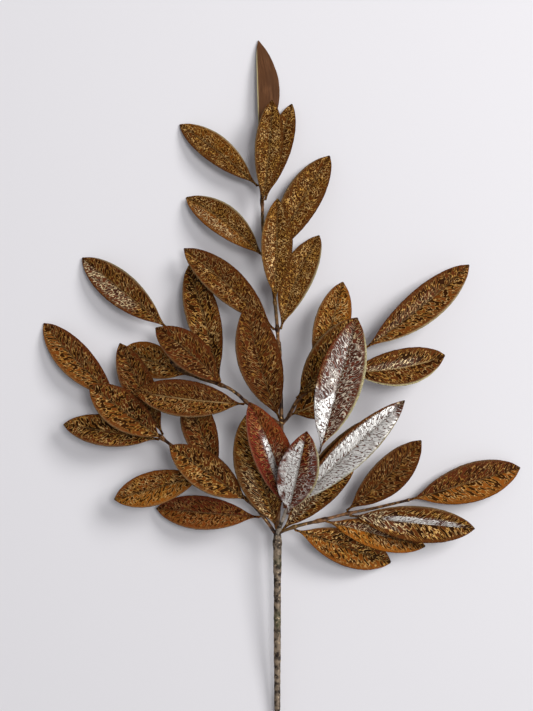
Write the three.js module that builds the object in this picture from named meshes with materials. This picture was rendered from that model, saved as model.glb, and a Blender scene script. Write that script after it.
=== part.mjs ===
// Artificial magnolia leaf spray lying flat: a wrapped main stem, a leader and five side
// twigs, and forty folded leaves. Millimetres, +Y towards the top leaf, +Z up.
import * as THREE from "three";

// Gaps and thicknesses shared by the whole spray.
const touchGap = 0.3;
const petioleClearance = 1.0;
const endClearance = 0.8;
const leafThickness = 0.7;
const petioleThickness = 1.5;
const petioleHalfWidth = 0.95;
const tipHalfWidth = 0.45;
const foldDegrees = 17;
// The fold is steep beside the midrib and eases towards the margins.
const foldStart = 1.5;
const foldEase = 0.5;
// The share of a leaf's length over which its petiole thins into the blade.
const thinningShare = 0.14;

// Outline of a blade: how quickly it widens from the petiole and narrows to the tip.
const petioleShare = 0.06;
const baseTaper = 0.88;
const tipTaper = 0.78;
const leafStations = [0, 0.05, 0.1, 0.18, 0.28, 0.4, 0.52, 0.64, 0.76, 0.86, 0.94, 1];
const acrossSteps = [-1, -0.5, 0, 0.5, 1];

// The main stem, measured along its length from the cut end: [distance, radius].
const stemRun = [[0, -193, 1.5], [0, -134, 5], [0, -79, 12], [0, -30, 17], [0, 0.6, 19.5]];
const stemProfile = [
  [0, 1.5], [59, 1.5], [61, 2.25], [97, 2.35], [98.5, 2.55], [164, 2.6], [166, 3],
  [186, 3.05], [187, 3.5], [190, 3.5], [191, 3.05], [195, 2.7],
];
const stemSides = 14;
const twigSides = 8;
// How finely a rod's curve is followed, and how near two rings may come in steps.
const curveSteps = 200;
const closestRings = 0.4;

// Twigs: the points their centre lines pass through, and [share of length, radius] pairs.
const twigs = {
  leader: {
    run: [
      [0, 1.2, 18.6], [0.8, 20, 22], [2.2, 45, 25], [2.8, 86, 28], [1.8, 120, 28], [0.8, 137, 28],
      [-0.5, 157, 27], [-2.5, 176, 26], [-7, 202, 23], [-10.6, 224, 20], [-11.3, 247, 17],
      [-14.3, 273, 13], [-14.7, 283, 12],
    ],
    profile: [
      [0, 1.2], [0.04, 1.6], [0.3, 1.55], [0.455, 1.4], [0.46, 2.1], [0.495, 2.1],
      [0.5, 1.3], [0.75, 1.2], [1, 1],
    ],
    steps: 26,
  },
  lower_left: {
    run: [
      [-2.1, 2.1, 20.6], [-11, 15, 24], [-22, 26.5, 26], [-38, 38, 26], [-53, 48.5, 26],
      [-82, 69.5, 23], [-101, 84.5, 20], [-116, 97, 16],
    ],
    profile: [[0, 1], [0.06, 1.3], [0.6, 1.2], [1, 1]],
    steps: 16,
  },
  upper_left: {
    run: [
      [0.4, 83, 28.6], [-8, 88.5, 30.5], [-20, 96, 32.5], [-34, 107.5, 32.5], [-59, 116.5, 30],
      [-75, 124.5, 28.5], [-79.5, 136, 23], [-80.7, 151, 16],
    ],
    profile: [[0, 1], [0.1, 1.25], [0.6, 1.2], [1, 1]],
    steps: 16,
  },
  lower_right: {
    run: [
      [2.2, 2.2, 20.6], [13, 6.6, 22.5], [33, 11.5, 22.8], [50, 15.6, 21], [72, 19.6, 17],
      [97.5, 25, 12],
    ],
    profile: [[0, 1], [0.08, 1.3], [0.26, 1.25], [0.29, 1.75], [0.33, 1.75], [0.36, 1.2], [1, 1]],
    steps: 18,
  },
  upper_right: {
    run: [[7.6, 87, 28.8], [16, 101.5, 35], [29, 111, 37], [49, 123, 36], [62, 136, 33]],
    profile: [[0, 1], [0.1, 1.3], [0.6, 1.2], [1, 1]],
    steps: 12,
  },
  centre: {
    run: [[0.1, 1.8, 22.6], [6, 18.5, 33.5], [13, 34, 43], [21.6, 50.5, 50], [29, 63, 55.5]],
    profile: [[0, 1], [0.1, 1.3], [0.6, 1.25], [1, 1.05]],
    steps: 12,
  },
};

// Leaves: where each sits on its twig (share of length; degrees round it, 0 right, 90 top,
// 180 left; an end leaf has no side), its tip, blade width, roll (left edge up), bow of the
// face, sideways sweep (to the left) and its own fold in degrees where it differs.
const leaves = {
  leader: [
    { at: 0.3, side: 115, tip: [-22, 169, 42], width: 32, roll: 9, bow: 3, sweep: 3.5 },
    { at: 0.53, side: 175, tip: [-69, 211, 14], width: 25, roll: 4, bow: 2, sweep: -1.5 },
    { at: 0.53, side: 5, tip: [31, 221, 12], width: 24, roll: -5, bow: 2, sweep: 3 },
    { at: 0.6, side: 90, tip: [0, 246, 31], width: 23, roll: 4, bow: 2 },
    { at: 0.71, side: 10, tip: [39, 281, 5], width: 27, roll: -4, bow: 2, sweep: 1.5 },
    { at: 0.72, side: 175, tip: [-68, 250, 3], width: 23, roll: 6, bow: 1.5, sweep: -3 },
    { at: 0.86, side: 90, tip: [-4, 320, 18], width: 21, roll: -4, bow: 2, sweep: -1.5 },
    { at: 0.87, side: 0, tip: [11, 320, 3], width: 19, roll: -8, bow: 1 },
    { at: 0.91, side: 180, tip: [-73, 305, 0.4], width: 21, roll: 6, bow: 1.5, sweep: -1.5 },
    { at: 1, tip: [-14, 368, 0.4], width: 18, roll: 20, bow: 1, fold: 8, sweep: -7.5 },
  ],
  lower_left: [
    { at: 0.11, side: 185, tip: [-90, 18, 6], width: 25, roll: 3, bow: 2 },
    { at: 0.21, side: 90, tip: [-78, 67, 38], width: 27, roll: 5, bow: 2 },
    { at: 0.4, side: 0, tip: [-65, 107, 22], width: 25, roll: -3, bow: 2, sweep: 1.5 },
    { at: 0.45, side: 190, tip: [-120, 26, 18], width: 25, roll: 6, bow: 3 },
    { at: 0.72, side: 95, tip: [-137, 110, 28], width: 28, roll: 4, bow: 2 },
    { at: 0.735, side: 200, tip: [-158, 81, 14], width: 23, roll: 8, bow: 2 },
    { at: 0.735, side: -5, tip: [-116, 141, 18], width: 24, roll: -5, bow: 2 },
    { at: 1, tip: [-175, 156, 0.4], width: 25, roll: 3, bow: 2, sweep: 1.5 },
  ],
  upper_left: [
    { at: 0.24, side: 140, tip: [-103, 106, 39], width: 27, roll: 8, bow: 2, sweep: 1.5 },
    { at: 0.42, side: 90, tip: [-88, 152, 37], width: 26, roll: 4, bow: 2, sweep: -2.5 },
    { at: 0.44, side: 10, tip: [-66, 199, 5], width: 25, roll: -4, bow: 2, sweep: -1 },
    { at: 0.64, side: 250, tip: [-113, 138, 7], width: 25, roll: 4, bow: 0, sweep: 1.5 },
    { at: 1, tip: [-146, 205, 1], width: 25, roll: 4, bow: 2 },
  ],
  lower_right: [
    { at: 0.11, side: -20, tip: [85, -23, 0.4], width: 27, roll: -6, bow: 1 },
    { at: 0.35, side: -50, tip: [110, -10, 8], width: 22, roll: -6, bow: 2 },
    { at: 0.52, side: 175, tip: [105, 70, 26], width: 26, roll: 4, bow: 2, sweep: -1.5 },
    { at: 0.53, side: 50, tip: [146, 4, 14], width: 27, roll: 4, bow: 2 },
    { at: 1, tip: [182, 48, 0.4], width: 29, roll: -2, bow: 2 },
  ],
  upper_right: [
    { at: 0.03, side: -60, tip: [49, 112, 25], width: 28, roll: -5, bow: 2, sweep: -2.5 },
    { at: 0.22, side: 125, tip: [57, 159, 48], width: 29, roll: 0, bow: 2, sweep: -1.5 },
    { at: 0.45, side: 175, tip: [48, 186, 22], width: 26, roll: 2, bow: 2 },
    { at: 0.74, side: -40, tip: [123, 132, 20], width: 27, roll: -4, bow: 2, sweep: -4 },
    { at: 1, tip: [142, 199, 12], width: 26, roll: 2, bow: 2, sweep: -2 },
  ],
  centre: [
    { at: 0.06, side: 150, tip: [-23, 89, 41], width: 34, roll: -10, bow: 2 },
    { at: 0.05, side: 0, tip: [56, 52, 34], width: 20, roll: 0, bow: 1, sweep: 2.5 },
    { at: 0.28, side: 45, tip: [20, 79, 70], width: 29, roll: 2, bow: 2 },
    { at: 0.33, side: 150, tip: [-20, 99, 59], width: 28, roll: 0, bow: 4, sweep: -4 },
    { at: 0.36, side: 5, tip: [90, 100, 54], width: 24, roll: 4, bow: 2, sweep: 1 },
    { at: 0.4, side: -70, tip: [80, 90, 40], width: 26, roll: 0, bow: 1 },
    { at: 1, tip: [55, 158, 73], width: 32, roll: 0, bow: 3 },
  ],
};

const stemColour = 0x5c4c34;
const twigColour = 0x4f3d28;
const leafColour = 0x7c5631;

// Half the blade width at a share of the leaf's length.
function halfWidthAt(share, width) {
  const blade = Math.max(0, (share - petioleShare) / (1 - petioleShare));
  const widest = baseTaper / (baseTaper + tipTaper);
  const peak = widest ** baseTaper * (1 - widest) ** tipTaper;
  const outline = blade ** baseTaper * (1 - blade) ** tipTaper / peak;
  const floor = THREE.MathUtils.lerp(petioleHalfWidth, tipHalfWidth, share);
  return Math.max(floor, outline * width / 2);
}

// A value read off a list of [share, value] pairs by straight lines between them.
function readProfile(profile, share) {
  let previous = profile[0];
  for (const entry of profile) {
    if (share <= entry[0]) {
      const span = entry[0] - previous[0];
      const part = span > 0 ? (share - previous[0]) / span : 1;
      return THREE.MathUtils.lerp(previous[1], entry[1], part);
    }
    previous = entry;
  }
  return previous[1];
}

// Collects the corners and faces of one closed body.
function bodyBuilder() {
  const corners = [];
  const faces = [];
  return {
    corner(point) {
      corners.push(point.x, point.y, point.z);
      return corners.length / 3 - 1;
    },
    quad(a, b, c, d) {
      faces.push(a, b, c, a, c, d);
    },
    triangle(a, b, c) {
      faces.push(a, b, c);
    },
    geometry() {
      const geometry = new THREE.BufferGeometry();
      geometry.setAttribute("position", new THREE.Float32BufferAttribute(corners, 3));
      geometry.setIndex(faces);
      geometry.computeVertexNormals();
      return geometry;
    },
  };
}

// A round rod along a curve, its radius read at each ring.
function rodGeometry(curve, shares, radiusAt, sides) {
  const body = bodyBuilder();
  const frames = curve.computeFrenetFrames(curveSteps, false);
  const rings = shares.map((share) => {
    const centre = curve.getPointAt(share);
    const place = Math.round(share * curveSteps);
    const normal = frames.normals[place];
    const binormal = frames.binormals[place];
    const ring = [];
    for (let side = 0; side < sides; side += 1) {
      const turn = side / sides * Math.PI * 2;
      const point = centre.clone();
      point.addScaledVector(normal, Math.cos(turn) * radiusAt(share));
      point.addScaledVector(binormal, Math.sin(turn) * radiusAt(share));
      ring.push(body.corner(point));
    }
    return ring;
  });
  const start = body.corner(curve.getPointAt(0));
  const end = body.corner(curve.getPointAt(1));
  for (let side = 0; side < sides; side += 1) {
    const next = (side + 1) % sides;
    for (let ring = 0; ring < rings.length - 1; ring += 1) {
      body.quad(rings[ring][side], rings[ring][next], rings[ring + 1][next], rings[ring + 1][side]);
    }
    body.triangle(start, rings[0][next], rings[0][side]);
    body.triangle(end, rings[rings.length - 1][side], rings[rings.length - 1][next]);
  }
  return body.geometry();
}

// The spot just off a twig where a leaf's petiole begins.
function perch(twig, leaf) {
  const point = twig.curve.getPointAt(leaf.at);
  const forward = twig.curve.getTangentAt(leaf.at);
  if (leaf.side === undefined) {
    return point.addScaledVector(forward, touchGap + endClearance);
  }
  const right = forward.clone().cross(new THREE.Vector3(0, 0, 1)).normalize();
  const top = right.clone().cross(forward);
  const turn = THREE.MathUtils.degToRad(leaf.side);
  const reach = readProfile(twig.profile, leaf.at) + touchGap + petioleClearance;
  point.addScaledVector(right, Math.cos(turn) * reach);
  return point.addScaledVector(top, Math.sin(turn) * reach);
}

// A folded leaf from its petiole to its tip, with a shallow valley along the midrib.
function leafGeometry(base, leaf) {
  const chord = new THREE.Vector3(...leaf.tip).sub(base);
  const forward = chord.clone().normalize();
  const level = new THREE.Vector3(0, 0, 1).cross(forward).normalize();
  const fold = Math.tan(THREE.MathUtils.degToRad(leaf.fold ?? foldDegrees));
  const left = level.clone().applyAxisAngle(forward, THREE.MathUtils.degToRad(leaf.roll));
  const face = forward.clone().cross(left);
  const body = bodyBuilder();
  const upper = [];
  const lower = [];
  for (const share of leafStations) {
    const arc = 4 * share * (1 - share);
    const spine = base.clone().addScaledVector(chord, share);
    spine.addScaledVector(face, arc * leaf.bow);
    spine.addScaledVector(left, arc * (leaf.sweep ?? 0));
    const halfWidth = halfWidthAt(share, leaf.width);
    const thinning = Math.min(1, share / thinningShare);
    const thickness = THREE.MathUtils.lerp(petioleThickness, leafThickness, thinning);
    const upperRow = [];
    const lowerRow = [];
    for (const across of acrossSteps) {
      const out = Math.abs(across);
      const lift = halfWidth * fold * thinning * (foldStart * out - foldEase * out * out);
      const point = spine.clone().addScaledVector(left, across * halfWidth);
      point.addScaledVector(face, lift + thickness / 2);
      upperRow.push(body.corner(point));
      lowerRow.push(body.corner(point.clone().addScaledVector(face, -thickness)));
    }
    upper.push(upperRow);
    lower.push(lowerRow);
  }
  const lastRow = leafStations.length - 1;
  const lastStep = acrossSteps.length - 1;
  for (let row = 0; row < lastRow; row += 1) {
    for (let step = 0; step < lastStep; step += 1) {
      body.quad(
        upper[row][step], upper[row + 1][step], upper[row + 1][step + 1], upper[row][step + 1],
      );
      body.quad(
        lower[row][step], lower[row][step + 1], lower[row + 1][step + 1], lower[row + 1][step],
      );
    }
    body.quad(
      upper[row][lastStep], upper[row + 1][lastStep], lower[row + 1][lastStep],
      lower[row][lastStep],
    );
    body.quad(upper[row][0], lower[row][0], lower[row + 1][0], upper[row + 1][0]);
  }
  for (let step = 0; step < lastStep; step += 1) {
    body.quad(upper[0][step], upper[0][step + 1], lower[0][step + 1], lower[0][step]);
    body.quad(
      upper[lastRow][step], lower[lastRow][step], lower[lastRow][step + 1],
      upper[lastRow][step + 1],
    );
  }
  return body.geometry();
}

function addPiece(group, name, geometry, colour, roughness, metalness) {
  const material = new THREE.MeshStandardMaterial({ color: colour, roughness, metalness });
  const mesh = new THREE.Mesh(geometry, material);
  mesh.name = name;
  group.add(mesh);
}

const spray = new THREE.Group();

const stemCurve = new THREE.CatmullRomCurve3(stemRun.map((point) => new THREE.Vector3(...point)));
const stemLength = stemProfile[stemProfile.length - 1][0];
const stemShares = stemProfile.map(([distance]) => distance / stemLength);
const stemRadii = stemProfile.map(([distance, radius]) => [distance / stemLength, radius]);
addPiece(
  spray, "main_stem",
  rodGeometry(stemCurve, stemShares, (share) => readProfile(stemRadii, share), stemSides),
  stemColour, 0.7, 0.1,
);

for (const [twigName, twig] of Object.entries(twigs)) {
  twig.curve = new THREE.CatmullRomCurve3(twig.run.map((point) => new THREE.Vector3(...point)));
  const shares = new Set(twig.profile.map(([share]) => share));
  for (let step = 0; step <= twig.steps; step += 1) {
    const share = step / twig.steps;
    if (![...shares].some((known) => Math.abs(known - share) < closestRings / twig.steps)) {
      shares.add(share);
    }
  }
  const rings = [...shares].sort((first, second) => first - second);
  const radiusAt = (share) => readProfile(twig.profile, share);
  addPiece(
    spray, `${twigName}_twig`, rodGeometry(twig.curve, rings, radiusAt, twigSides),
    twigColour, 0.65, 0.1,
  );
  leaves[twigName].forEach((leaf, index) => {
    const geometry = leafGeometry(perch(twig, leaf), leaf);
    addPiece(spray, `${twigName}_leaf_${index + 1}`, geometry, leafColour, 0.45, 0.6);
  });
}

// The origin is the middle of the underside of the box round the whole spray.
const box = new THREE.Box3().setFromObject(spray);
const middle = box.getCenter(new THREE.Vector3());
spray.position.set(-middle.x, -middle.y, -box.min.z);

const branch = new THREE.Group();
branch.name = "magnolia_leaf_spray";
branch.add(spray);
branch.updateMatrixWorld(true);

export default branch;
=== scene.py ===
import math

import bmesh
import bpy
import numpy as np
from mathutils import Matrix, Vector, noise


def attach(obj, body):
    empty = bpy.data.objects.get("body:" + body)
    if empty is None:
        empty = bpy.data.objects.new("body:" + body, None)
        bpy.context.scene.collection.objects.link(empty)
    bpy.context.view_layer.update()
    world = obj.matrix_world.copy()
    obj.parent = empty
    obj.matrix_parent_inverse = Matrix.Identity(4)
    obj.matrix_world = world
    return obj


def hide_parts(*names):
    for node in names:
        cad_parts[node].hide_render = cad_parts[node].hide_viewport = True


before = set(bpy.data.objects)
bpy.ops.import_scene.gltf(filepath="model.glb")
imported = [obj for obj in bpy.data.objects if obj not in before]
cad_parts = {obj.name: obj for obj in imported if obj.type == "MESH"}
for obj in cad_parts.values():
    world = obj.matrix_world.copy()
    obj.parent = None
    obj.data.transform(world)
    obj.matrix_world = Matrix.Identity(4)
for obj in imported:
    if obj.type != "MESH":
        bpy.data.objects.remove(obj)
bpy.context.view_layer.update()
scene = bpy.context.scene
mm = 0.001

nodeShape = {
    "mergeGap": 0.01 * mm,
    "leafRowPoints": 10,  # five pairs across a leaf, each a front and a back point
    "capSpokes": 8,  # edges that meet at the middle of a rod's end
}


def mergedPoints(node):
    work = bmesh.new()
    work.from_mesh(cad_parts[node].data)
    bmesh.ops.remove_doubles(work, verts=work.verts, dist=nodeShape["mergeGap"])
    return work


def unit(vector):
    return vector / np.linalg.norm(vector)


# a leaf node is read as rows of points square to its length
def readLeaf(node):
    work = mergedPoints(node)
    spots = np.array([v.co for v in work.verts])
    work.free()
    perRow = nodeShape["leafRowPoints"]
    centrePair = perRow // 4
    middle = spots.mean(0)
    axis = np.linalg.svd(spots - middle, full_matrices=False)[2][0]
    order = np.argsort((spots - middle) @ axis)
    first, last = spots[order[:perRow]], spots[order[-perRow:]]
    if first.std(0).sum() < last.std(0).sum():
        first, last = last, first
    base, tip = first.mean(0), last.mean(0)
    length = np.linalg.norm(tip - base)
    forward = (tip - base) / length
    level = unit(np.cross((0, 0, 1), forward))
    face = np.cross(forward, level)
    along = (spots - base) @ forward
    rows = np.array_split(np.argsort(along), len(spots) // perRow)
    wide = max(rows, key=lambda row: np.ptp((spots[row] - base) @ level))
    flat = np.stack([(spots[wide] - base) @ level, (spots[wide] - base) @ face], 1)
    flat -= flat.mean(0)
    lean = np.linalg.svd(flat, full_matrices=False)[2][0]
    lean = lean * np.sign(lean[0])
    left = level * lean[0] + face * lean[1]
    face = np.cross(forward, left)
    leaf = {"base": base, "length": length, "forward": forward, "left": left, "face": face}
    table = []
    for row in rows:
        local = spots[row] - base
        across, up = local @ left, local @ face
        order = np.argsort(across)
        across = across[order].reshape(-1, 2).mean(1)
        up = up[order].reshape(-1, 2).mean(1)
        table.append((along[row].mean() / length, across[centrePair],
                      (across[-1] - across[0]) / 2, up[centrePair],
                      (up[0] + up[-1]) / 2 - up[centrePair]))
    table = np.array(table)
    leaf["share"], leaf["sway"], leaf["half"], leaf["arch"], leaf["lift"] = table.T
    return leaf


# a rod node is read as rings: a centre line and a radius along it
def readRod(node):
    work = mergedPoints(node)
    work.verts.ensure_lookup_table()
    hubs = [v for v in work.verts
            if len({e.other_vert(v) for e in v.link_edges}) >= nodeShape["capSpokes"]]
    hub = min(hubs, key=lambda v: v.co.y)
    seen, ring = {hub}, {e.other_vert(hub) for e in hub.link_edges}
    centres, radii = [], []
    while len(ring) > 2:
        spots = np.array([v.co for v in ring])
        centres.append(spots.mean(0))
        radii.append(np.linalg.norm(spots - centres[-1], axis=1).mean())
        seen |= ring
        ring = {e.other_vert(v) for v in ring for e in v.link_edges} - seen
    work.free()
    centres, radii = np.array(centres), np.array(radii)
    run = np.concatenate([[0], np.cumsum(np.linalg.norm(np.diff(centres, axis=0), axis=1))])
    return {"centres": centres, "radii": radii, "run": run, "length": run[-1]}


# a smooth line through known values, for numbers or for points
def smoothRead(known, values, wanted):
    slopes = np.gradient(values, known, axis=0)
    place = np.clip(np.searchsorted(known, wanted, side="right") - 1, 0, len(known) - 2)
    step = known[place + 1] - known[place]
    part = (wanted - known[place]) / step
    if values.ndim > 1:
        step, part = step[:, None], part[:, None]
    start, end = values[place], values[place + 1]
    return (start * (2 * part**3 - 3 * part**2 + 1) + end * (3 * part**2 - 2 * part**3)
            + slopes[place] * step * (part**3 - 2 * part**2 + part)
            + slopes[place + 1] * step * (part**3 - part**2))


seamGap = 0.002 * mm


# a grid bent round into a closed sleeve: place gives each corner its point and its notes
def sleeve(name, rows, columns, place):
    work = bmesh.new()
    bmesh.ops.create_grid(work, x_segments=rows, y_segments=columns, size=1)
    mesh = bpy.data.meshes.new(name)
    work.to_mesh(mesh)
    work.free()
    grid = np.empty(len(mesh.vertices) * 3)
    mesh.vertices.foreach_get("co", grid)
    grid = grid.reshape(-1, 3)
    row = np.rint((grid[:, 0] + 1) / 2 * rows).astype(int)
    column = np.rint((grid[:, 1] + 1) / 2 * columns).astype(int) % columns
    points, notes = place(row, column)
    mesh.vertices.foreach_set("co", points.ravel())
    for label, values in notes.items():
        layer = mesh.attributes.new(label, "FLOAT_VECTOR", "POINT")
        layer.data.foreach_set("vector", values.astype(float).ravel())
    work = bmesh.new()
    work.from_mesh(mesh)
    bmesh.ops.remove_doubles(work, verts=work.verts, dist=seamGap)
    bmesh.ops.holes_fill(work, edges=work.edges, sides=0)
    bmesh.ops.triangulate(work, faces=[f for f in work.faces if len(f.verts) > 4])
    bmesh.ops.recalc_face_normals(work, faces=work.faces)
    for piece in work.faces:
        piece.smooth = True
    work.to_mesh(mesh)
    work.free()
    return mesh


def addPiece(mesh, slot, *nodes):
    piece = bpy.data.objects.new(mesh.name, mesh)
    scene.collection.objects.link(piece)
    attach(piece, "root")
    if nodes:
        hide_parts(*nodes)
    return piece


def ripple(points, size, seed):
    scaled = points / size + seed * 7.3
    return np.array([noise.noise(Vector(point)) for point in scaled])


def newMaterial(name):
    material = bpy.data.materials.new(name)
    material.use_nodes = True
    tree = material.node_tree
    shader = tree.nodes["Principled BSDF"]
    return material, tree, shader


def addNode(tree, kind, x, y, **values):
    made = tree.nodes.new(kind)
    made.location = (x, y)
    for key, value in values.items():
        setattr(made, key, value)
    return made


def maths(tree, operation, first, second=None, x=0, y=0, clamp=False):
    made = addNode(tree, "ShaderNodeMath", x, y, operation=operation, use_clamp=clamp)
    for socket, value in zip(made.inputs, (first, second)):
        if value is None:
            continue
        if isinstance(value, (int, float)):
            socket.default_value = value
        else:
            tree.links.new(value, socket)
    return made.outputs[0]


def ramp(tree, value, low, high, x=0, y=0, smooth=True, out=(0, 1)):
    made = addNode(tree, "ShaderNodeMapRange", x, y)
    made.interpolation_type = "SMOOTHSTEP" if smooth else "LINEAR"
    made.inputs["From Min"].default_value = low
    made.inputs["From Max"].default_value = high
    made.inputs["To Min"].default_value = out[0]
    made.inputs["To Max"].default_value = out[1]
    tree.links.new(value, made.inputs["Value"])
    return made.outputs["Result"]


def blendColour(tree, factor, first, second, x=0, y=0, how="MIX"):
    made = addNode(tree, "ShaderNodeMix", x, y, data_type="RGBA", blend_type=how)
    if isinstance(factor, (int, float)):
        made.inputs[0].default_value = factor
    else:
        tree.links.new(factor, made.inputs[0])
    for socket, value in ((made.inputs[6], first), (made.inputs[7], second)):
        if isinstance(value, tuple):
            socket.default_value = (*value, 1)
        else:
            tree.links.new(value, socket)
    return made.outputs[2]


def blendValue(tree, factor, first, second, x=0, y=0):
    made = addNode(tree, "ShaderNodeMix", x, y, data_type="FLOAT")
    for socket, value in zip(made.inputs, (factor, None, first, second)):
        if value is None:
            continue
        tree.links.new(value, socket)
    return made.outputs[0]


crackleLook = {
    "wormWidth": (1.55 * mm, 1.15 * mm),  # on a loose coat and on one along the veins
    "wormStretch": (1.0, 4.0),
    "wormBend": (0.5, 0.08),
    "lineSpread": (0.085, 0.02),
    "crackSpread": (0.012, 0.075),
    "troughSpread": (0.055, 0.11),
    "troughDepth": 0.6,
    "sparkleScale": 900.0,
    "sparkleHeight": 0.25,
    "patchScale": 110.0,
}


# the crackled coating: short gold worms that lean along the side veins
def crackleGroup():
    tree = bpy.data.node_groups.new("goldCrackle", "ShaderNodeTree")
    face = tree.interface
    face.new_socket("Place", in_out="INPUT", socket_type="NodeSocketVector")
    for label, value in (("Grain", 0.5), ("Vein angle", 42.0)):
        made = face.new_socket(label, in_out="INPUT", socket_type="NodeSocketFloat")
        made.default_value = value
    for label in ("Lines", "Unbroken", "Height", "Sparkle", "Patches", "TroughShade"):
        face.new_socket(label, in_out="OUTPUT", socket_type="NodeSocketFloat")
    start = addNode(tree, "NodeGroupInput", -1600, 0)
    end = addNode(tree, "NodeGroupOutput", 900, 0)
    split = addNode(tree, "ShaderNodeSeparateXYZ", -1400, 100)
    tree.links.new(start.outputs["Place"], split.inputs[0])
    along, across, seed = split.outputs
    outward = maths(tree, "ABSOLUTE", across, x=-1200, y=0)
    side = maths(tree, "SIGN", across, x=-1200, y=-150)
    turn = maths(tree, "RADIANS", start.outputs["Vein angle"], x=-1400, y=-200)
    sine = maths(tree, "SINE", turn, x=-1200, y=-250)
    cosine = maths(tree, "COSINE", turn, x=-1200, y=-350)
    overVeins = maths(tree, "SUBTRACT", maths(tree, "MULTIPLY", along, sine, -1000, 100),
                      maths(tree, "MULTIPLY", outward, cosine, -1000, 0), -800, 60)
    downVeins = maths(tree, "ADD", maths(tree, "MULTIPLY", along, cosine, -1000, -100),
                      maths(tree, "MULTIPLY", outward, sine, -1000, -200), -800, -120)
    size = ramp(tree, start.outputs["Grain"], 0, 0.6, -1200, -500, False,
                crackleLook["wormWidth"])
    stretch = ramp(tree, start.outputs["Grain"], 0, 1, -1000, -350, False,
                   crackleLook["wormStretch"])
    downSize = maths(tree, "MULTIPLY", size, stretch, -800, -300)
    gather = addNode(tree, "ShaderNodeCombineXYZ", -500, 0)
    tree.links.new(maths(tree, "DIVIDE", overVeins, size, -650, 60), gather.inputs[0])
    tree.links.new(maths(tree, "DIVIDE", downVeins, downSize, -650, -120), gather.inputs[1])
    tree.links.new(maths(tree, "ADD", seed, side, -650, -250), gather.inputs[2])
    worms = addNode(tree, "ShaderNodeTexNoise", -300, 100)
    worms.inputs["Scale"].default_value = 1.0
    worms.inputs["Detail"].default_value = 0.0
    tree.links.new(ramp(tree, start.outputs["Grain"], 0, 1, -500, 250, False,
                        crackleLook["wormBend"]), worms.inputs["Distortion"])
    tree.links.new(gather.outputs[0], worms.inputs["Vector"])
    offset = maths(tree, "SUBTRACT", worms.outputs[0], 0.5, -100, 100)
    spread = maths(tree, "ABSOLUTE", offset, x=60, y=100)
    ridge = ramp(tree, spread, *crackleLook["lineSpread"], 280, 100)
    # trough: a band on one side of each worm, sunk in the relief; in the leaf's colour it is
    # painted shade beside the raised line
    trough = ramp(tree, offset, *crackleLook["troughSpread"], 280, 300)
    sparkle = addNode(tree, "ShaderNodeTexNoise", -300, -200)
    sparkle.inputs["Scale"].default_value = crackleLook["sparkleScale"]
    sparkle.inputs["Detail"].default_value = 1.0
    tree.links.new(start.outputs["Place"], sparkle.inputs["Vector"])
    glints = ramp(tree, sparkle.outputs[0], 0.3, 0.7, 60, -200)
    wide = addNode(tree, "ShaderNodeTexNoise", -300, -450)
    wide.inputs["Scale"].default_value = crackleLook["patchScale"]
    wide.inputs["Detail"].default_value = 2.0
    tree.links.new(start.outputs["Place"], wide.inputs["Vector"])
    tree.links.new(ridge, end.inputs["Lines"])
    tree.links.new(ramp(tree, spread, *crackleLook["crackSpread"], 450, -50),
                   end.inputs["Unbroken"])
    tree.links.new(trough, end.inputs["TroughShade"])
    sunk = maths(tree, "MULTIPLY", trough, crackleLook["troughDepth"], 400, 200)
    raised = maths(tree, "MULTIPLY", glints, crackleLook["sparkleHeight"], 400, -100)
    relief = maths(tree, "SUBTRACT", ridge, sunk, 500, 100)
    tree.links.new(maths(tree, "ADD", relief, raised, 640, 0), end.inputs["Height"])
    tree.links.new(glints, end.inputs["Sparkle"])
    tree.links.new(wide.outputs[0], end.inputs["Patches"])
    return tree


crackle = crackleGroup()

leafLook = {
    "darkCrackShade": (0.020, 0.006, 0.0008),
    "rust": (0.100, 0.031, 0.005),
    "gold": (0.54, 0.28, 0.058),
    "paleGold": (0.84, 0.56, 0.24),
    "goldHighlight": (0.95, 0.74, 0.42),
    "redGround": (0.195, 0.020, 0.014),
    "silverReflectionGround": (0.120, 0.042, 0.028),
    "silverCoatAndReflection": (0.86, 0.84, 0.80),
    "darkTip": (0.012, 0.005, 0.002),
    "shade": (0.055, 0.010, 0.003),
    "copper": (0.34, 0.105, 0.010),
    "edgeHighlightCream": (0.62, 0.55, 0.30),
    "goldMetal": 0.3,
    "silverMetal": 0.6,
    "specular": 0.05,
    "specularTint": (1.0, 0.72, 0.42),
    "coatRoughness": 0.22,
    "relief": 0.45 * mm,
    "marginReach": (0.96, 1.20),
    "silverReflectionFlood": (1.22, 1.42),
    "grooveShadeReach": (1.4 * mm, 0.6 * mm),
    "grooveShade": 0.42,
    "ribHighlightReach": (0.7 * mm, 0.2 * mm),
    "edgeDark": 0.55,
    "tipDark": 0.4,
}


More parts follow.
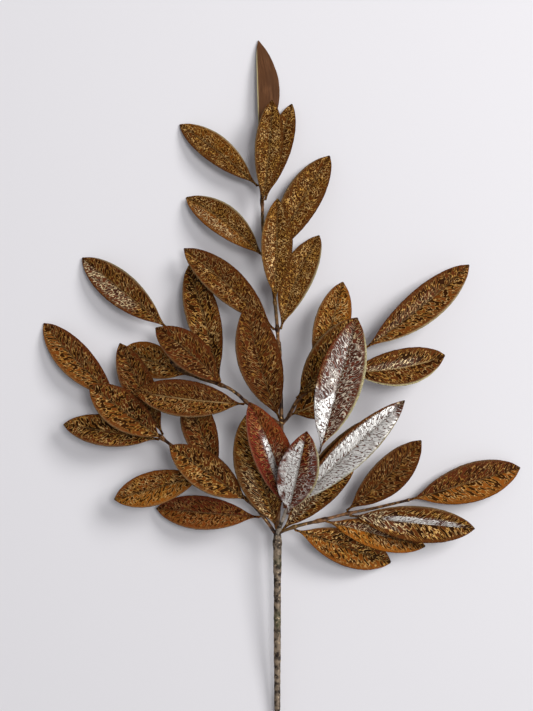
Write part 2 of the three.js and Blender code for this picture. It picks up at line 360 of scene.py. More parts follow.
def leafMaterial():
    material, tree, shader = newMaterial("bronzeCrackleLeaf")
    parts = {}
    for step, label in enumerate(("leafPlace", "leafZone", "leafTone", "leafSheen",
                                  "leafRibHighlightShadeCopper")):
        parts[label] = addNode(tree, "ShaderNodeAttribute", -1700, 300 - 250 * step,
                               attribute_name=label).outputs["Vector"]
    split = {}
    for step, label in enumerate(parts):
        made = addNode(tree, "ShaderNodeSeparateXYZ", -1500, 50 - 250 * step)
        tree.links.new(parts[label], made.inputs[0])
        split[label] = made.outputs
    share, outward, _ = split["leafZone"]
    redness, goldness, grain = split["leafTone"]
    silverCoatAndReflection, gloss, rim = split["leafSheen"]
    coating = addNode(tree, "ShaderNodeGroup", -1250, 300)
    coating.node_tree = crackle
    tree.links.new(parts["leafPlace"], coating.inputs["Place"])
    tree.links.new(grain, coating.inputs["Grain"])
    lines, sparkle = coating.outputs["Lines"], coating.outputs["Sparkle"]
    patches = ramp(tree, coating.outputs["Patches"], 0.36, 0.64, -1000, 500)
    # smooth rust margins, ragged where they meet the gold
    fray = maths(tree, "ADD", outward, maths(tree, "MULTIPLY", coating.outputs["Patches"], 0.6,
                                             -1100, 0), -900, 0)
    margin = ramp(tree, fray, *leafLook["marginReach"], -750, 0)
    plain = maths(tree, "SUBTRACT", 1.0, maths(tree, "MULTIPLY", margin, 0.75, -600, 0), -450, 0)
    cover = maths(tree, "MULTIPLY", maths(tree, "MULTIPLY", lines, plain, -300, 0), goldness,
                  -150, 0, True)
    # painted shade: the trough beside each raised gold worm turns dark, less so on loose grain and
    # on red coats
    dark = maths(tree, "MULTIPLY", coating.outputs["TroughShade"],
                 ramp(tree, grain, 0, 0.5, -900, 600, out=(0.55, 0.95)), -750, 550)
    base = blendColour(tree, redness, leafLook["rust"], leafLook["redGround"], -950, 750)
    base = blendColour(tree, split["leafRibHighlightShadeCopper"][2], base, leafLook["copper"], -800, 750)
    dark = maths(tree, "MULTIPLY", dark, ramp(tree, redness, 0.1, 0.9, -900, 850, True, (1, 0.7)),
                 -700, 600)
    ground = blendColour(tree, dark, base, leafLook["darkCrackShade"], -620, 450)
    ground = blendColour(tree, margin, ground, base, -450, 450)
    gilt = blendColour(tree, maths(tree, "MULTIPLY", sparkle, patches, -800, 250),
                       leafLook["gold"], leafLook["paleGold"], -620, 250)
    # silver places, partly a silvery coat and partly painted reflection: the lines turn pale gold,
    # then silver, then spread and leave fine dark cracks
    gilt = blendColour(tree, ramp(tree, silverCoatAndReflection, 0, 0.25, -600, 150), gilt,
                       leafLook["goldHighlight"], -450, 250)
    gilt = blendColour(tree, ramp(tree, silverCoatAndReflection, 0.3, 0.6, -450, 100), gilt, leafLook["silverCoatAndReflection"],
                       -300, 250)
    ground = blendColour(tree, silverCoatAndReflection, ground, leafLook["silverReflectionGround"], -150, 450)
    ragged = maths(tree, "ADD", silverCoatAndReflection, maths(tree, "MULTIPLY", coating.outputs["Patches"], 1.3,
                                              -600, -200), -450, -200)
    flood = ramp(tree, ragged, *leafLook["silverReflectionFlood"], -300, -200)
    unbroken = coating.outputs["Unbroken"]
    cover = blendValue(tree, flood, cover, unbroken, 0, -100)
    cover = maths(tree, "MULTIPLY", cover, ramp(tree, sparkle, 0, 1, 0, -300, out=(0.78, 1.0)),
                  150, -100)
    colour = blendColour(tree, cover, ground, gilt, 300, 350)
    # the midrib: a painted highlight as a fine bright line, and painted shade in a dark groove on
    # each side
    middle = maths(tree, "ABSOLUTE", split["leafPlace"][1], x=-150, y=700)
    grooveShading = ramp(tree, middle, *leafLook["grooveShadeReach"], 0, 700,
                  out=(0, leafLook["grooveShade"]))
    colour = blendColour(tree, grooveShading, colour, leafLook["darkCrackShade"], 400, 500)
    ridge = maths(tree, "MULTIPLY", ramp(tree, middle, *leafLook["ribHighlightReach"], 0, 850),
                  split["leafRibHighlightShadeCopper"][0], 200, 850)
    colour = blendColour(tree, ridge, colour, leafLook["paleGold"], 450, 600)
    darkEdge = ramp(tree, outward, 0.93, 1.0, 0, 1000, out=(0, leafLook["edgeDark"]))
    colour = blendColour(tree, darkEdge, colour, leafLook["darkTip"], 450, 750)
    # a pale line painted along one edge: painted highlight
    colour = blendColour(tree, rim, colour, leafLook["edgeHighlightCream"], 450, 350)
    tipShade = ramp(tree, share, 0.95, 1.0, 300, 600, out=(0, leafLook["tipDark"]))
    colour = blendColour(tree, tipShade, colour, leafLook["darkTip"], 600, 350)
    # painted shade: the halves listed as shaded turn darker and redder
    colour = blendColour(tree, split["leafRibHighlightShadeCopper"][1], colour, leafLook["shade"], 750, 350)
    tree.links.new(colour, shader.inputs["Base Color"])
    metal = maths(tree, "MULTIPLY", cover, ramp(tree, silverCoatAndReflection, 0, 1, 150, -250, False,
                                                (leafLook["goldMetal"], leafLook["silverMetal"])),
                  300, -50)
    tree.links.new(metal, shader.inputs["Metallic"])
    tree.links.new(ramp(tree, metal, 0, leafLook["silverMetal"], 450, -200, False, (0.52, 0.36)),
                   shader.inputs["Roughness"])
    tree.links.new(gloss, shader.inputs["Coat Weight"])
    bump = addNode(tree, "ShaderNodeBump", 450, -450)
    bump.inputs["Strength"].default_value = 1.0
    bump.inputs["Distance"].default_value = leafLook["relief"]
    height = blendValue(tree, flood, coating.outputs["Height"], unbroken, 250, -450)
    tree.links.new(height, bump.inputs["Height"])
    tree.links.new(bump.outputs[0], shader.inputs["Normal"])
    shader.inputs["Specular IOR Level"].default_value = leafLook["specular"]
    shader.inputs["Specular Tint"].default_value = (*leafLook["specularTint"], 1)
    shader.inputs["Coat Roughness"].default_value = leafLook["coatRoughness"]
    return material


backLook = {
    "darkFibre": (0.050, 0.018, 0.006),
    "paleFibre": (0.145, 0.062, 0.026),
    "patch": (0.085, 0.034, 0.013),
    "fibreScale": (90, 1300, 1),
    "patchScale": 60.0,
    "relief": 0.2 * mm,
    "reliefStrength": 0.4,
    "specular": 0.12,
}


def leafBackMaterial():
    material, tree, shader = newMaterial("plainLeafBack")
    place = addNode(tree, "ShaderNodeAttribute", -1300, 200, attribute_name="leafPlace")
    streak = addNode(tree, "ShaderNodeMapping", -1100, 200)
    streak.inputs["Scale"].default_value = backLook["fibreScale"]
    tree.links.new(place.outputs["Vector"], streak.inputs["Vector"])
    fibres = addNode(tree, "ShaderNodeTexNoise", -900, 200)
    fibres.inputs["Scale"].default_value = 1.0
    fibres.inputs["Detail"].default_value = 3.0
    tree.links.new(streak.outputs[0], fibres.inputs["Vector"])
    wide = addNode(tree, "ShaderNodeTexNoise", -900, -100)
    wide.inputs["Scale"].default_value = backLook["patchScale"]
    tree.links.new(place.outputs["Vector"], wide.inputs["Vector"])
    colour = blendColour(tree, ramp(tree, fibres.outputs[0], 0.3, 0.7, -700, 200),
                         backLook["darkFibre"], backLook["paleFibre"], -500, 200)
    colour = blendColour(tree, ramp(tree, wide.outputs[0], 0.35, 0.7, -700, -100), colour,
                         backLook["patch"], -300, 150)
    edge = addNode(tree, "ShaderNodeSeparateXYZ", -500, 450)
    tree.links.new(addNode(tree, "ShaderNodeAttribute", -700, 450,
                           attribute_name="leafSheen").outputs["Vector"], edge.inputs[0])
    # the same painted edge highlight on the back
    colour = blendColour(tree, edge.outputs[2], colour, leafLook["edgeHighlightCream"], -100, 200)
    tree.links.new(colour, shader.inputs["Base Color"])
    tree.links.new(ramp(tree, fibres.outputs[0], 0.3, 0.7, -500, 0, True, (0.62, 0.5)),
                   shader.inputs["Roughness"])
    bump = addNode(tree, "ShaderNodeBump", -300, -200)
    bump.inputs["Strength"].default_value = backLook["reliefStrength"]
    bump.inputs["Distance"].default_value = backLook["relief"]
    tree.links.new(fibres.outputs[0], bump.inputs["Height"])
    tree.links.new(bump.outputs[0], shader.inputs["Normal"])
    shader.inputs["Specular IOR Level"].default_value = backLook["specular"]
    return material


barkLook = {
    "mottleScale": 260.0,
    "fleckScale": 520.0,
    "tintScale": 45.0,
    "tintStrength": 0.6,
    "fleckSpread": (0.60, 0.76),
    "relief": 0.3 * mm,
    "reliefStrength": 0.6,
    "specular": 0.2,
}


def twigMaterial(name, dark, light, fleck, tint):
    material, tree, shader = newMaterial(name)
    where = addNode(tree, "ShaderNodeTexCoord", -1300, 0)
    mottle = addNode(tree, "ShaderNodeTexNoise", -1000, 200)
    mottle.inputs["Scale"].default_value = barkLook["mottleScale"]
    mottle.inputs["Detail"].default_value = 3.0
    tree.links.new(where.outputs["Object"], mottle.inputs["Vector"])
    flecks = addNode(tree, "ShaderNodeTexNoise", -1000, -50)
    flecks.inputs["Scale"].default_value = barkLook["fleckScale"]
    flecks.inputs["Detail"].default_value = 2.0
    tree.links.new(where.outputs["Object"], flecks.inputs["Vector"])
    wide = addNode(tree, "ShaderNodeTexNoise", -1000, -300)
    wide.inputs["Scale"].default_value = barkLook["tintScale"]
    tree.links.new(where.outputs["Object"], wide.inputs["Vector"])
    colour = blendColour(tree, ramp(tree, mottle.outputs[0], 0.35, 0.65, -800, 200), dark,
                         light, -600, 200)
    tinted = ramp(tree, wide.outputs[0], 0.5, 0.7, -800, -300,
                  out=(0, barkLook["tintStrength"]))
    colour = blendColour(tree, tinted, colour, tint, -400, 150)
    spots = ramp(tree, flecks.outputs[0], *barkLook["fleckSpread"], -800, -50)
    colour = blendColour(tree, spots, colour, fleck, -200, 100)
    tree.links.new(colour, shader.inputs["Base Color"])
    tree.links.new(ramp(tree, spots, 0, 1, -200, -100, False, (0.1, 0.6)),
                   shader.inputs["Metallic"])
    tree.links.new(ramp(tree, mottle.outputs[0], 0.3, 0.7, -200, -250, True, (0.62, 0.42)),
                   shader.inputs["Roughness"])
    bump = addNode(tree, "ShaderNodeBump", -200, -400)
    bump.inputs["Strength"].default_value = barkLook["reliefStrength"]
    bump.inputs["Distance"].default_value = barkLook["relief"]
    tree.links.new(mottle.outputs[0], bump.inputs["Height"])
    tree.links.new(bump.outputs[0], shader.inputs["Normal"])
    shader.inputs["Specular IOR Level"].default_value = barkLook["specular"]
    return material


leafFront = leafMaterial()
leafBack = leafBackMaterial()
stemWrap = twigMaterial("stemWrap", (0.018, 0.010, 0.006), (0.240, 0.180, 0.125),
                        (0.50, 0.38, 0.24), (0.07, 0.075, 0.03))
twigCoat = twigMaterial("twigCoat", (0.022, 0.007, 0.003), (0.210, 0.096, 0.036),
                        (0.60, 0.36, 0.14), (0.110, 0.070, 0.020))
# the centre twig's coat: a paler copy of the twig coat, painted highlight
paleHighlightTwig = twigMaterial("paleHighlightTwig", (0.040, 0.026, 0.016), (0.400, 0.330, 0.260),
                        (0.60, 0.50, 0.36), (0.12, 0.11, 0.06))
print("materials ready")


rodLook = {
    "twigColumns": 20,
    "stemColumns": 28,
    "stepLength": 0.9 * mm,
    "knuckle": 0.42 * mm,
    "knuckleReach": 1.7 * mm,
    "unevenness": 0.10 * mm,
    "lumpLength": 3.5 * mm,
    "wrapPitch": 9 * mm,
    "wrapEnds": (62 * mm, 186 * mm),  # measured from the cut end of the stem
    "wrapStep": 0.16 * mm,
    "lip": 0.05 * mm,
    "lipStart": 0.93,  # the share of a turn after which the lapped edge stands up
    "rootDepth": 0.6 * mm,  # how far past its parent's middle line a twig starts
    "rootReach": 1.3,  # how far back along itself it looks for that line, in gaps
    "samples": 600,
    "coats": {"main_stem": stemWrap, "centre_twig": paleHighlightTwig},
}
rodNames = ["main_stem"] + [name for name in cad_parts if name.endswith("_twig")]
leafNames = [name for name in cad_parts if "_leaf_" in name]
rods = {name: readRod(name) for name in rodNames}
leaves = {name: readLeaf(name) for name in leafNames}
print("read", len(rods), "rods and", len(leaves), "leaves")


def nearestOnRod(rod, point):
    fine = np.linspace(0, rod["length"], rodLook["samples"])
    line = smoothRead(rod["run"], rod["centres"], fine)
    gaps = np.linalg.norm(line - point, axis=1)
    best = int(np.argmin(gaps))
    return fine[best], line[best], gaps[best]


# a twig starts inside the rod that it grows from
parents = {"upper_left_twig": "leader_twig", "upper_right_twig": "leader_twig"}
for name, rod in rods.items():
    if name == "main_stem":
        continue
    parent = rods[parents.get(name, "main_stem")]
    start = rod["centres"][0]
    lead = unit(rod["centres"][1] - start)
    gap = nearestOnRod(parent, start)[2]
    root = nearestOnRod(parent, start - lead * gap * rodLook["rootReach"])[1]
    root = root + unit(root - start) * rodLook["rootDepth"]
    added = np.linalg.norm(root - start)
    rod["centres"] = np.concatenate([[root], rod["centres"]])
    rod["radii"] = np.concatenate([[rod["radii"][1]], [rod["radii"][1]], rod["radii"][1:]])
    rod["run"] = np.concatenate([[0], rod["run"] + added])
    rod["length"] = rod["run"][-1]


# each leaf hangs from the nearest rod
for leaf in leaves.values():
    choices = [(nearestOnRod(rod, leaf["base"]), name) for name, rod in rods.items()]
    (leaf["rodPlace"], leaf["root"], _), leaf["rod"] = min(choices, key=lambda one: one[0][2])


def buildRod(name):
    rod = rods[name]
    wrapped = name == "main_stem"
    rows = int(rod["length"] / rodLook["stepLength"])
    columns = rodLook["stemColumns" if wrapped else "twigColumns"]
    run = np.linspace(0, rod["length"], rows + 1)
    line = smoothRead(rod["run"], rod["centres"], run)
    radius = np.interp(run, rod["run"], rod["radii"])
    knots = [leaf["rodPlace"] for leaf in leaves.values() if leaf["rod"] == name]
    for knot in knots:
        radius = radius + rodLook["knuckle"] * np.exp(-((run - knot) / rodLook["knuckleReach"])**2)
    ahead = np.gradient(line, run, axis=0)
    ahead /= np.linalg.norm(ahead, axis=1)[:, None]
    right = np.cross(ahead, (0, 0, 1))
    right /= np.linalg.norm(right, axis=1)[:, None]
    top = np.cross(right, ahead)

    def place(row, column):
        turn = column / columns * 2 * math.pi
        out = right[row] * np.cos(turn)[:, None] + top[row] * np.sin(turn)[:, None]
        points = line[row] + out * radius[row][:, None]
        swell = ripple(points, rodLook["lumpLength"], 1) * rodLook["unevenness"]
        if wrapped:  # the wrap runs round the stem with a lapped edge
            lap = (run[row] / rodLook["wrapPitch"] + turn / (2 * math.pi)) % 1
            wrapStart, wrapEnd = rodLook["wrapEnds"]
            onWrap = (run[row] > wrapStart) & (run[row] < wrapEnd)
            lip = rodLook["lip"] * (lap > rodLook["lipStart"])
            step = rodLook["wrapStep"] * (1 - lap)**2 + lip
            swell = swell + np.where(onWrap, step, 0)
        points = points + out * swell[:, None]
        return points, {}

    mesh = sleeve(name + "_skin", rows, columns, place)
    mesh.materials.append(rodLook["coats"].get(name, twigCoat))
    return addPiece(mesh, "stem_wrap" if wrapped else "twig", name)


for name in rodNames:
    buildRod(name)
print("stem and twigs built")


leafShape = {
    "rows": 140,
    "rootRows": 6,
    "rootStart": -0.2,  # the petiole starts past the middle line of its twig
    "frontColumns": 40,
    "backColumns": 14,
    "thickness": 0.62 * mm,
    "petioleThickness": 1.6 * mm,
    "ribHeight": 0.22 * mm,
    "ribWidth": 0.6 * mm,
    "veinSpacing": 3.4 * mm,
    "veinAngle": 55,
    "veinDepth": 0.07 * mm,
    "veinWobble": 2.2 * mm,
    "veinWobbleLength": 9 * mm,
    "crumple": 0.35 * mm,
    "crumpleLength": 16 * mm,
    "edgeWave": 0.55 * mm,
    "edgeWaveLength": 11 * mm,
    "nibble": 0.012,  # as a share of the leaf's width
    "nibbleLength": 2.6 * mm,
    "patchLength": 12 * mm,
    "ribHighlightSpan": (0.12, 0.82),  # where the midrib shines, as shares of the length
    "silverGloss": 0.3,
    "silverSoftness": (0.2, 0.25),  # along and across
    "rimStart": 0.87,
    "rimBlend": 0.08,
    "rimSpan": (0.1, 0.9),
}

# a coat's tone is how red, how gold and how far along the veins it is; silver is a list of
# places painted silver, partly a silvery coat and partly painted reflection, as side (1 left,
# -1 right), from and to along, from and to across, strength; shaded and copper are halves with
# painted shade, darker and redder, and with more copper than gold, as side and strength; rim is
# the side and strength of a pale line painted along one edge, a painted highlight; rib is the
# strength of the highlight painted along the midrib
plainCoat = {"tone": (0.08, 0.90, 0.6), "silverCoatAndReflection": [], "shaded": [], "copper": [],
             "rim": (1, 0.12), "rib": 0.12, "backUp": False}
leaderCoat = {**plainCoat, "tone": (0.03, 0.95, 0.08)}
leafCoats = {
    "centre_leaf_1": {
        "tone": (0.10, 0.95, 1.0), "rib": 0.2, "shaded": [(-1, 0.25)], "copper": [(1, 0.25)],
        "silverCoatAndReflection": [(1, 0.0, 0.6, 0.3, 0.9, 0.12)]},
    "centre_leaf_2": {"silverCoatAndReflection": [(1, 0.1, 0.8, -0.1, 0.7, 0.35), (-1, 0.1, 0.5, -0.1, 0.4, 0.2)]},
    "centre_leaf_3": {
        "tone": (0.70, 0.60, 0.6), "rim": (-1, 0.7),
        "silverCoatAndReflection": [(1, 0.0, 0.9, -0.1, 0.6, 1.0), (1, 0.1, 0.85, 0.45, 1.1, 0.7),
                   (-1, 0.05, 0.9, 0.4, 1.1, 0.52), (-1, 0.0, 0.6, -0.1, 1.1, 0.46)]},
    "centre_leaf_4": {
        "tone": (0.90, 0.45, 0.6), "copper": [(-1, 0.20)],
        "silverCoatAndReflection": [(1, 0.1, 0.7, -0.1, 0.3, 0.9), (-1, 0.05, 0.6, -0.1, 0.5, 0.28)]},
    "centre_leaf_5": {
        "tone": (0.10, 0.90, 0.9), "rim": (-1, 0.5),
        "silverCoatAndReflection": [(1, 0.0, 0.95, -0.1, 0.8, 0.95), (-1, 0.0, 0.62, -0.1, 1.1, 0.95),
                   (-1, 0.5, 0.97, -0.1, 1.0, 0.80)]},
    "centre_leaf_7": {
        "tone": (0.40, 0.80, 0.8), "rim": (-1, 0.9),
        "silverCoatAndReflection": [(1, -0.1, 0.48, -0.1, 1.1, 0.80), (1, 0.3, 0.92, -0.1, 0.85, 0.52),
                   (-1, 0.1, 0.9, -0.1, 1.1, 0.45)]},
    "leader_leaf_1": {"tone": (0.15, 0.65, 0.9), "rib": 0.1, "shaded": [(1, 0.35), (-1, 0.25)]},
    "leader_leaf_2": {"tone": (0.12, 0.80, 0.2), "shaded": [(-1, 0.25)]},
    "leader_leaf_3": {"rim": (-1, 0.5)},
    "leader_leaf_4": {
        "tone": (0.00, 1.00, 0.05), "shaded": [(-1, 0.05)], "copper": [(1, 0.20)],
        "silverCoatAndReflection": [(1, 0.2, 0.8, 0.1, 0.8, 0.08)]},
    "leader_leaf_5": {"shaded": [(1, 0.10)]},
    "leader_leaf_6": {
        "tone": (0.05, 1.00, 0.1), "rim": (-1, 0.4), "copper": [(1, 0.35)],
        "silverCoatAndReflection": [(1, 0.3, 0.9, 0.2, 0.9, 0.12)]},
    "leader_leaf_9": {"rim": (-1, 0.4), "shaded": [(1, 0.10)], "copper": [(-1, 0.30)]},
    "leader_leaf_10": {"rim": (1, 0.6), "backUp": True},
    "lower_left_leaf_1": {"tone": (0.50, 0.50, 0.5), "copper": [(1, 0.35)]},
    "lower_left_leaf_2": {
        "tone": (0.15, 0.85, 0.5), "shaded": [(-1, 0.12)], "copper": [(1, 0.20)]},
    "lower_left_leaf_3": {"tone": (0.20, 0.60, 0.5), "shaded": [(1, 0.10)]},
    "lower_left_leaf_4": {"tone": (0.35, 0.95, 0.5), "copper": [(1, 0.80), (-1, 0.30)]},
    "lower_left_leaf_5": {"tone": (0.20, 0.80, 0.5), "copper": [(1, 0.20)]},
    "lower_left_leaf_6": {"tone": (0.20, 1.00, 0.5), "copper": [(-1, 0.30)]},
    "lower_left_leaf_7": {"tone": (0.20, 0.60, 0.5), "shaded": [(1, 0.10), (-1, 0.10)]},
    "lower_left_leaf_8": {
        "tone": (0.25, 0.80, 0.7), "shaded": [(-1, 0.15)], "copper": [(1, 0.35)]},
    "lower_right_leaf_1": {"tone": (0.20, 1.00, 0.5), "copper": [(1, 0.15), (-1, 0.45)]},
    "lower_right_leaf_2": {
        "tone": (0.30, 0.80, 0.7), "copper": [(1, 0.20), (-1, 0.85)],
        "silverCoatAndReflection": [(1, 0.1, 0.6, -0.1, 0.5, 0.35), (-1, 0.5, 0.8, 0.1, 0.6, 0.1)]},
    "lower_right_leaf_3": {"tone": (0.10, 0.55, 0.9), "shaded": [(1, 0.30), (-1, 0.20)]},
    "lower_right_leaf_4": {
        "tone": (0.10, 0.90, 0.9),
        "silverCoatAndReflection": [(1, 0.25, 0.9, -0.1, 0.35, 0.78), (-1, 0.02, 0.45, -0.1, 0.6, 0.22),
                   (1, 0.02, 0.3, -0.1, 0.8, 0.25)]},
    "lower_right_leaf_5": {
        "tone": (0.25, 0.75, 0.9), "rib": 0.15, "shaded": [(1, 0.30)], "copper": [(-1, 0.60)]},
    "upper_left_leaf_1": {"tone": (0.15, 0.70, 0.6), "rib": 0.5, "shaded": [(-1, 0.40)]},
    "upper_left_leaf_2": {"tone": (0.20, 0.65, 0.6), "shaded": [(1, 0.30), (-1, 0.25)]},
    "upper_left_leaf_3": {"tone": (0.12, 1.00, 0.5)},
    "upper_left_leaf_4": {"tone": (0.20, 1.00, 0.5), "copper": [(1, 0.35), (-1, 0.40)]},
    "upper_left_leaf_5": {
        "tone": (0.15, 0.85, 0.6), "rim": (-1, 0.4), "shaded": [(-1, 0.20)],
        "silverCoatAndReflection": [(1, 0.35, 0.97, 0.05, 0.85, 0.33)]},
    "upper_right_leaf_1": {
        "tone": (0.20, 1.00, 0.6), "rib": 0.8, "copper": [(1, 0.50), (-1, 0.20)]},
    "upper_right_leaf_3": {"tone": (0.15, 0.95, 0.3), "copper": [(1, 0.15), (-1, 0.55)]},
    "upper_right_leaf_4": {
        "tone": (0.10, 0.85, 0.6), "rib": 0.7, "rim": (-1, 0.9), "shaded": [(-1, 0.15)],
        "silverCoatAndReflection": [(1, 0.1, 0.7, -0.1, 0.4, 0.28)]},
    "upper_right_leaf_5": {
        "tone": (0.15, 0.85, 0.6), "rim": (-1, 0.5), "shaded": [(1, 0.15), (-1, 0.05)],
        "copper": [(-1, 0.20)], "silverCoatAndReflection": [(1, 0.05, 0.7, -0.1, 0.5, 0.10)]},
}


def coatOf(name):
    shared = leaderCoat if name.startswith("leader") else plainCoat
    return {**shared, **leafCoats.get(name, {})}


def softWindow(values, low, high, soft):
    rising = np.clip((values - low) / soft + 0.5, 0, 1)
    falling = np.clip((high - values) / soft + 0.5, 0, 1)
    return rising**2 * (3 - 2 * rising) * falling**2 * (3 - 2 * falling)


def leafSheen(coat, share, across, onFront):
    # silver places: partly a silvery coat, partly painted reflection
    silverCoatAndReflection = np.zeros(len(share))
    softAlong, softAcross = leafShape["silverSoftness"]
    for side, first, last, inner, outer, strength in coat["silverCoatAndReflection"]:
        shape = (softWindow(share, first, last, softAlong)
                 * softWindow(across * side, inner, outer, softAcross))
        silverCoatAndReflection = np.maximum(silverCoatAndReflection, shape * strength * (across * side > -0.02))
    gloss = leafShape["silverGloss"] * silverCoatAndReflection
    # rim: a pale line painted along one edge, a painted highlight
    side, strength = coat["rim"]
    rimStart, rimBlend = leafShape["rimStart"], leafShape["rimBlend"]
    rim = np.clip((across * side - rimStart) / rimBlend, 0, 1)
    rim = strength * rim * softWindow(share, *leafShape["rimSpan"], 0.1)
    return np.stack([silverCoatAndReflection * onFront, gloss, rim], 1)


def buildLeaf(name, number):
    leaf = leaves[name]
    rows, rootRows = leafShape["rows"], leafShape["rootRows"]
    front, back = leafShape["frontColumns"], leafShape["backColumns"]
    columns = front + back + 2
    length = leaf["length"]
    coat = coatOf(name)
    red, gold, grain = coat["tone"]
    bladeShare = np.linspace(0, 1, rows - rootRows + 1)
    sway = smoothRead(leaf["share"], leaf["sway"], bladeShare)
    arch = smoothRead(leaf["share"], leaf["arch"], bladeShare)
    half = np.maximum(smoothRead(leaf["share"], leaf["half"], bladeShare), 0.3 * mm)
    lift = smoothRead(leaf["share"], leaf["lift"], bladeShare)
    spine = (leaf["base"] + np.outer(bladeShare * length, leaf["forward"])
             + np.outer(sway, leaf["left"]) + np.outer(arch, leaf["face"]))
    rooted = np.linspace(leafShape["rootStart"], 1, rootRows, endpoint=False)
    rootSpine = leaf["root"] + np.outer(rooted, leaf["base"] - leaf["root"])
    spine = np.concatenate([rootSpine, spine])
    share = np.concatenate([(rooted - 1) * 0.02, bladeShare])
    half = np.concatenate([np.full(rootRows, half[0]), half])
    lift = np.concatenate([np.zeros(rootRows), lift])
    blade = np.clip((share - 0.04) / 0.12, 0, 1)

    def place(row, column):
        onFront = column <= front
        across = np.where(onFront, column / front * 2 - 1,
                          1 - (column - front - 1) / back * 2)
        out = np.abs(across)
        along = share[row] * length
        sideways = across * half[row]
        body = blade[row]
        # rim: thin and softly rounded on the blade, round on the petiole
        thick = leafShape["petioleThickness"] * (1 - body) + leafShape["thickness"] * body
        roundness = np.sqrt(np.clip(1 - out**2, 0, 1))
        profile = roundness * (1 - body) + (1 - 0.62 * out**5) * body
        rise = np.where(onFront, 1, -1) * thick / 2 * profile
        rise = rise + lift[row] * (1.5 * out - 0.5 * out**2)
        flatPlace = np.stack([along, sideways, np.full(len(along), number * 3.7)], 1)
        # midrib, standing up a little on both faces
        fade = np.clip(1.15 - share[row], 0, 1) * body
        rib = np.exp(-(sideways / leafShape["ribWidth"])**2) * fade * leafShape["ribHeight"]
        rise = rise + rib * np.where(onFront, 0.8, -1.2)
        # side veins, slanting forward from the midrib
        turn = math.radians(leafShape["veinAngle"])
        order = along * math.sin(turn) - np.abs(sideways) * math.cos(turn)
        wobble = (ripple(flatPlace * (1, 1, 0), leafShape["veinWobbleLength"], number)
                  * leafShape["veinWobble"])
        vein = np.cos((order + wobble) / leafShape["veinSpacing"] * 2 * math.pi)
        inner = np.clip(out / 0.12, 0, 1) * np.clip((1.02 - out) / 0.2, 0, 1)
        rise = rise + vein * inner * body * leafShape["veinDepth"] * (0.4 + 0.6 * grain)
        # soft crumple and a wavy edge
        spots = spine[row] + np.outer(sideways, leaf["left"])
        crumple = ripple(spots, leafShape["crumpleLength"], number)
        rise = rise + crumple * leafShape["crumple"] * body
        wave = ripple(flatPlace * (1, 0, 0) + np.outer(np.sign(across), (0, 5 * mm, 0)),
                      leafShape["edgeWaveLength"], number + 20)
        rise = rise + wave * leafShape["edgeWave"] * out**3 * body
        nibble = ripple(flatPlace * (1, 0, 0) + np.outer(np.sign(across), (0, 9 * mm, 0)),
                        leafShape["nibbleLength"], number + 40)
        sideways = sideways * (1 + leafShape["nibble"] * nibble * out**4 * body)
        points = (spine[row] + np.outer(sideways, leaf["left"])
                  + np.outer(rise, leaf["face"]))
        # a highlight painted along the midrib, patchy along its length
        patchy = 0.55 + 0.45 * ripple(flatPlace * (1, 0, 0), leafShape["patchLength"],
                                      number + 60)
        ribHighlight = coat["rib"] * softWindow(share[row], *leafShape["ribHighlightSpan"], 0.2) * patchy
        # shaded halves get painted shade; copper halves a coat with more copper than gold
        shadow, copper = [
            sum((strength * np.clip(across * side / 0.06, 0, 1)
                 for side, strength in coat[kind]), np.zeros(len(along)))
            for kind in ("shaded", "copper")]
        notes = {
            "leafPlace": flatPlace,
            "leafZone": np.stack([share[row], out, onFront.astype(float)], 1),
            "leafTone": np.tile((red, gold, grain), (len(along), 1)),
            "leafSheen": leafSheen(coat, share[row], across, onFront),
            "leafRibHighlightShadeCopper": np.stack([onFront * ribHighlight, shadow, copper * onFront], 1),
        }
        return points, notes

    mesh = sleeve(name + "_skin", rows, columns, place)
    mesh.materials.append(leafFront)
    mesh.materials.append(leafBack)
    zones = mesh.attributes["leafZone"].data
    for polygon in mesh.polygons:
        frontShare = sum(zones[v].vector[2] for v in polygon.vertices) / len(polygon.vertices)
        polygon.material_index = int((frontShare < 0.5) != coat["backUp"])
    return addPiece(mesh, "leaf", name)


for number, name in enumerate(leafNames):
    buildLeaf(name, number)
print("leaves built")


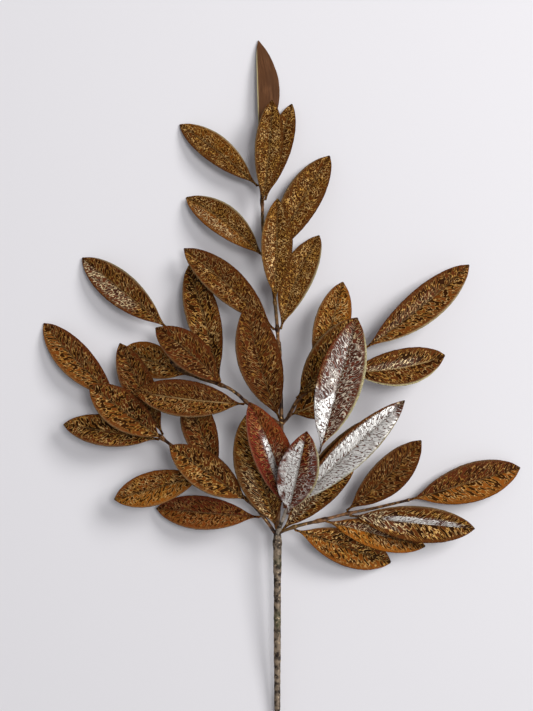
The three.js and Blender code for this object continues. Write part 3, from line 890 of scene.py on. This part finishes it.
studio = {
    "floor": (0.80, 0.79, 0.82),
    "floorHalf": 4,
    "floorRoughness": 0.6,
    "floorSpecular": 0.2,
    "roomGlow": 0.29,
    "roomColour": (0.97, 0.97, 1.0),
    "key": {"power": 31, "size": 0.8, "place": (0.80, 0.35, 3.0), "colour": (1, 0.985, 0.98)},
    "side": {"power": 48, "size": 1.1, "place": (1.7, 1.2, 1.8), "colour": (1, 0.99, 0.98)},
    "sheen": {"power": 24, "size": 1.15, "place": (1.1, -0.55, 1.35),
              "colour": (0.95, 0.98, 1.0)},
    "cameraPlace": (-0.0114, 0.0445, 1.0),
    "lens": 67.5,
}

work = bmesh.new()
bmesh.ops.create_grid(work, x_segments=1, y_segments=1, size=studio["floorHalf"])
floorMesh = bpy.data.meshes.new("floor")
work.to_mesh(floorMesh)
work.free()
floor = bpy.data.objects.new("floor", floorMesh)
scene.collection.objects.link(floor)
floorMaterial, _, floorShader = newMaterial("paleFloor")
floorShader.inputs["Base Color"].default_value = (*studio["floor"], 1)
floorShader.inputs["Roughness"].default_value = studio["floorRoughness"]
floorShader.inputs["Specular IOR Level"].default_value = studio["floorSpecular"]
floorMesh.materials.append(floorMaterial)


def addSoftbox(name):
    look = studio[name]
    lamp = bpy.data.lights.new(name + "Light", "AREA")
    lamp.energy = look["power"]
    lamp.size = look["size"]
    lamp.color = look["colour"]
    box = bpy.data.objects.new(name + "Light", lamp)
    box.location = look["place"]
    box.rotation_euler = (-Vector(look["place"])).to_track_quat("-Z", "Y").to_euler()
    scene.collection.objects.link(box)
    return box


addSoftbox("key")
# a broad light from the upper right shades one half of each folded leaf
addSoftbox("side").visible_glossy = False
# this box shows only as gloss, low to the right of the spray
addSoftbox("sheen").visible_diffuse = False

world = bpy.data.worlds.new("softRoom")
world.use_nodes = True
backdrop = world.node_tree.nodes["Background"]
backdrop.inputs["Color"].default_value = (*studio["roomColour"], 1)
backdrop.inputs["Strength"].default_value = studio["roomGlow"]
scene.world = world
scene.view_settings.view_transform = "Standard"

lens = bpy.data.cameras.new("camera")
lens.sensor_width = 36
lens.lens = studio["lens"]
camera = bpy.data.objects.new("camera", lens)
camera.location = studio["cameraPlace"]
scene.collection.objects.link(camera)
scene.camera = camera

print("scene ready")
